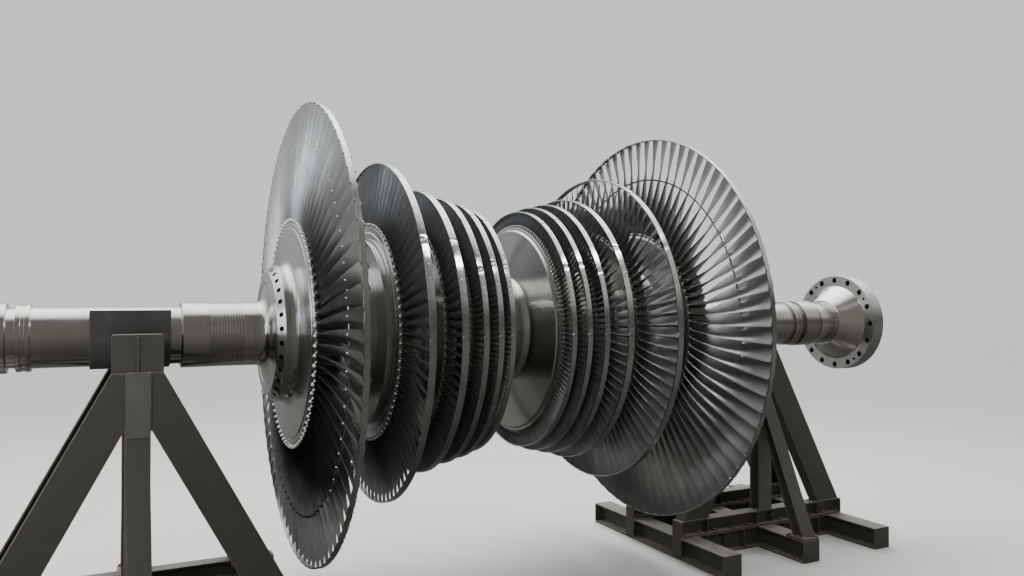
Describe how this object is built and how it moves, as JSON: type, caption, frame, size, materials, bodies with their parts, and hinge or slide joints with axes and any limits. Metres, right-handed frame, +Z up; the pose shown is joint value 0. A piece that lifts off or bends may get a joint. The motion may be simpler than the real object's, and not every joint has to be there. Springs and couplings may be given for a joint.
{
  "type": "double-flow steam turbine rotor on stands",
  "caption": "Low-pressure steam turbine rotor: shaft with mirrored rows of twisted blades growing towards both ends, coupling flanges, lying in two padded steel stands.",
  "frame": {"origin": "on the floor, under the middle of the rotor, half way between the two flows", "axes": "+X along the rotor axis towards the right coupling, +Y level and away from the near side, +Z up"},
  "size_m": [6.548, 2.64, 2.92],
  "materials": {
    "shaft_steel": "polished and turned",
    "wheel_steel": "satin turned",
    "blade_steel": "satin milled",
    "band_steel": "bright turned",
    "stand_paint": "dark olive-grey paint, worn",
    "lining_rubber": "matt"
  },
  "bodies": {
    "stands": {"stand_left_base": "stand_paint", "stand_left_frame_near": "stand_paint", "stand_left_frame_far": "stand_paint", "stand_left_beam": "stand_paint", "stand_left_saddle": "stand_paint", "stand_left_lining": "lining_rubber", "stand_right_base": "stand_paint", "stand_right_frame_near": "stand_paint", "stand_right_frame_far": "stand_paint", "stand_right_beam": "stand_paint", "stand_right_saddle": "stand_paint", "stand_right_lining": "lining_rubber"},
    "rotor": {"shaft": "shaft_steel", "wheel_left_1": "wheel_steel", "wheel_left_2": "wheel_steel", "wheel_left_3": "wheel_steel", "wheel_left_4": "wheel_steel", "blades_left_1": "blade_steel", "blades_left_2": "blade_steel", "blades_left_3": "blade_steel", "blades_left_4": "blade_steel", "blades_left_5": "blade_steel", "blades_left_6": "blade_steel", "band_left_2": "band_steel", "band_left_3": "band_steel", "band_left_4": "band_steel", "band_left_5": "band_steel", "band_left_6": "band_steel", "coupling_left": "shaft_steel", "wheel_right_1": "wheel_steel", "wheel_right_2": "wheel_steel", "wheel_right_3": "wheel_steel", "wheel_right_4": "wheel_steel", "blades_right_1": "blade_steel", "blades_right_2": "blade_steel", "blades_right_3": "blade_steel", "blades_right_4": "blade_steel", "blades_right_5": "blade_steel", "blades_right_6": "blade_steel", "band_right_2": "band_steel", "band_right_3": "band_steel", "band_right_4": "band_steel", "band_right_5": "band_steel", "band_right_6": "band_steel", "coupling_right": "shaft_steel"}
  },
  "joints": [
    {"name": "rotor_spin", "type": "hinge", "parent": "stands", "child": "rotor", "pos_m": [0, 0, 1.6], "axis": [1, 0, 0], "continuous": true}
  ]
}
